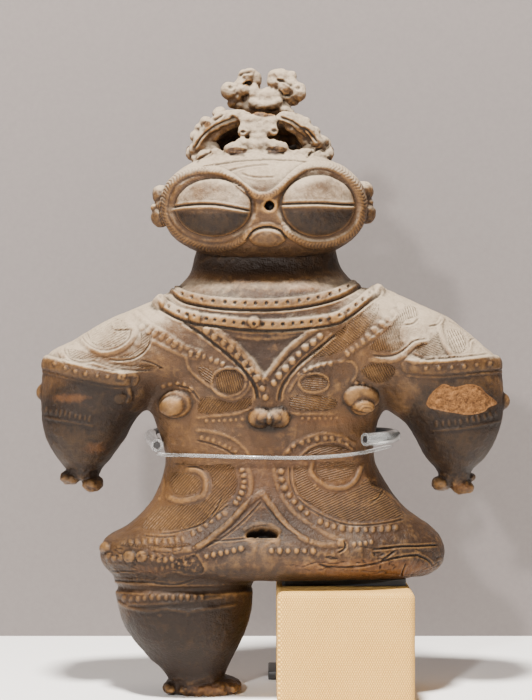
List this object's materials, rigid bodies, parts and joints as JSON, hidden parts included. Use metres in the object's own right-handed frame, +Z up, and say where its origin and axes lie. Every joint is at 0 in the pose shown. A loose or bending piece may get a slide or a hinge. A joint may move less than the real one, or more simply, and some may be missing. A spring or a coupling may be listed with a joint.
{
  "type": "clay figurine",
  "caption": "Fired-clay goggle-eyed figurine with a lost leg, standing on its foot and a cloth-covered block and held at the waist by a forked stand.",
  "frame": {"origin": "middle of the underside of the whole, at the level where the foot, the block and the stand's foot rest", "axes": "+Z up, -Y the way the face looks, +X to the right of someone who looks at the face"},
  "size_m": [0.2602, 0.1106, 0.3417],
  "materials": {
    "fired_clay": "burnished low-fired clay, grey-brown, paler with dust on top and orange where the skin has gone",
    "block_cloth": "cream woven cloth stretched over a block",
    "black_pad": "matt black pad",
    "black_steel": "satin black paint",
    "clear_tube": "clear soft plastic tube",
    "clear_line": "clear plastic line"
  },
  "bodies": {
    "root": {"dogu_figurine": "fired_clay", "support_block": "block_cloth", "rest_pad": "black_pad", "stand": "black_steel", "sleeve_left": "clear_tube", "sleeve_right": "clear_tube", "waist_line": "clear_line"}
  },
  "joints": []
}
